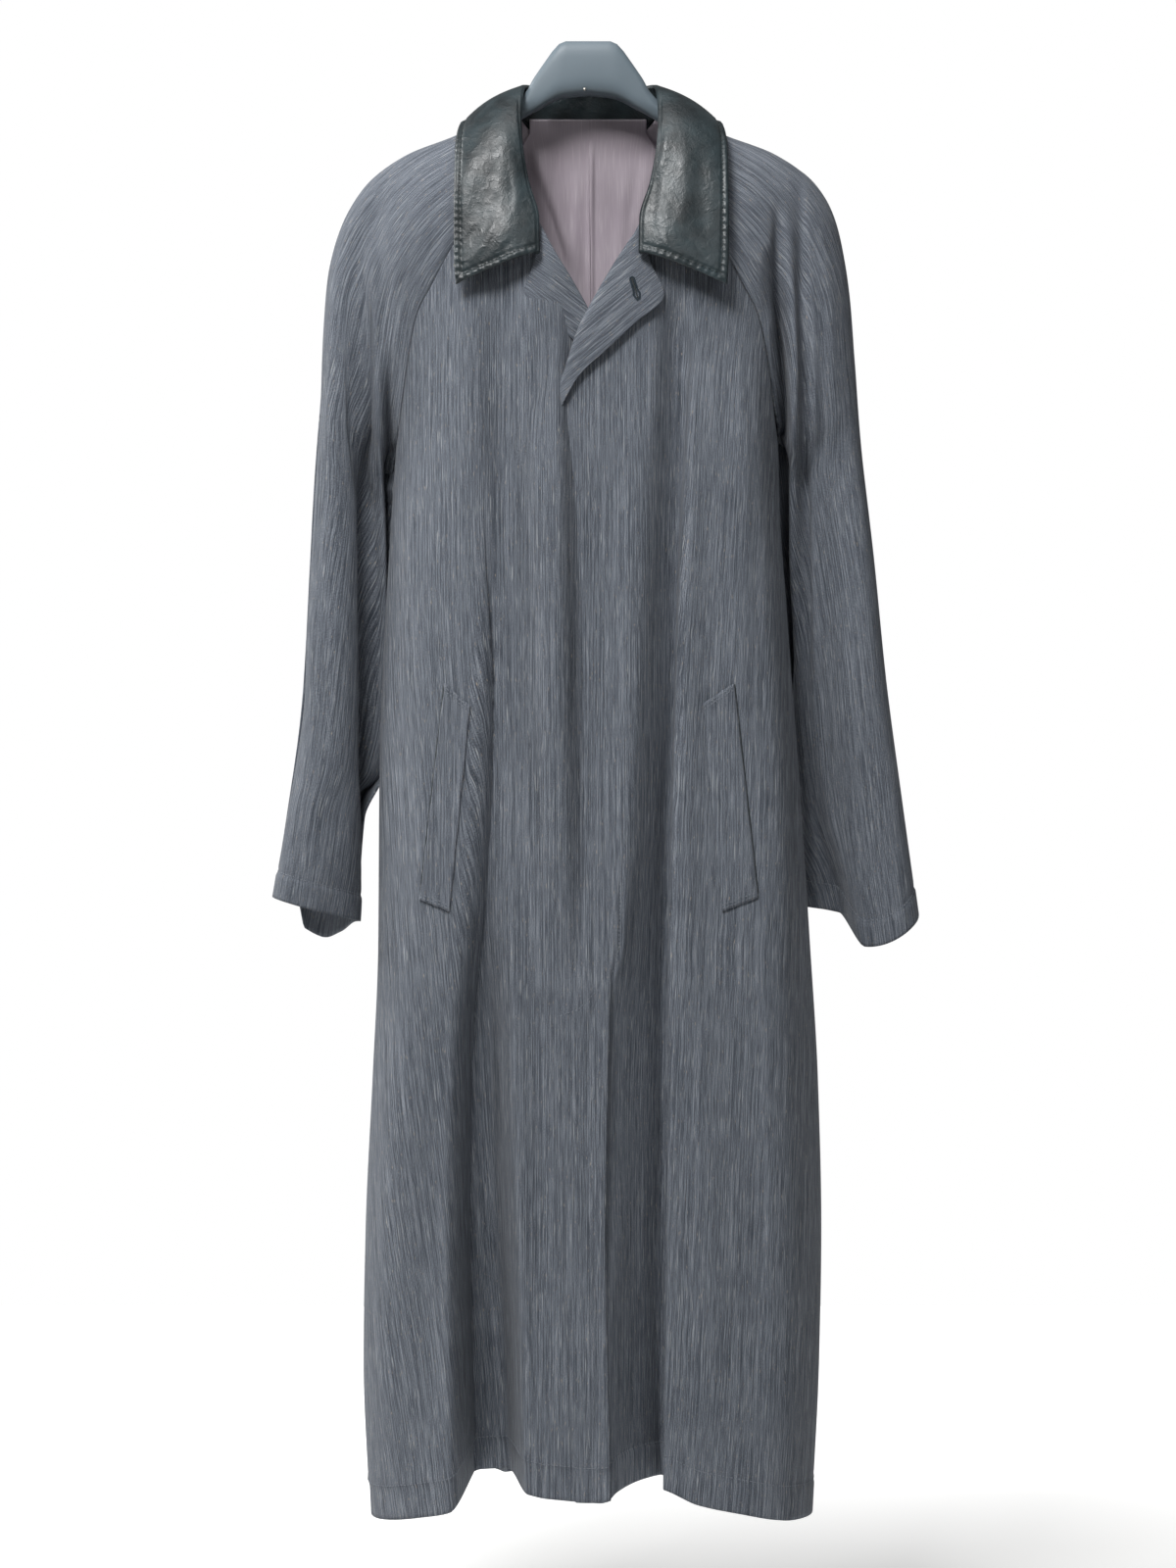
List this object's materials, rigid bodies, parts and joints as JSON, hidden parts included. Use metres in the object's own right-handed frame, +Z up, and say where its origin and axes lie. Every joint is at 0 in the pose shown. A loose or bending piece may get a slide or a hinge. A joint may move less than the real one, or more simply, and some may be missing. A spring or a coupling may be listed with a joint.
{
  "type": "raglan coat on a hanger",
  "caption": "Long raglan coat of slubby wool with a leather collar, turned-back lapels and slanted welt pockets, hanging open at neck, cuffs and hem on a moulded hanger.",
  "frame": {"origin": "middle of the flat top of the hanger, where the hanger is held", "axes": "+X to the wearer's left, +Y to the wearer's back, +Z up; the front faces -Y"},
  "size_m": [0.58, 0.2032, 1.316],
  "materials": {
    "wool": "slubby grey-blue wool and silk weave, matt",
    "leather": "soft dark green-black nappa leather, half-gloss",
    "lining": "mauve-grey satin, soft sheen",
    "hanger": "moulded grey-blue plastic, satin"
  },
  "bodies": {
    "root": {"front_left": "wool", "front_right": "wool", "back": "wool", "sleeve_left_front": "wool", "sleeve_left_back": "wool", "sleeve_right_front": "wool", "sleeve_right_back": "wool", "lapel_left": "wool", "lapel_right": "wool", "pocket_welt_left": "wool", "pocket_welt_right": "wool", "collar": "leather", "lining_left": "lining", "lining_right": "lining", "hanger": "hanger"}
  },
  "joints": []
}
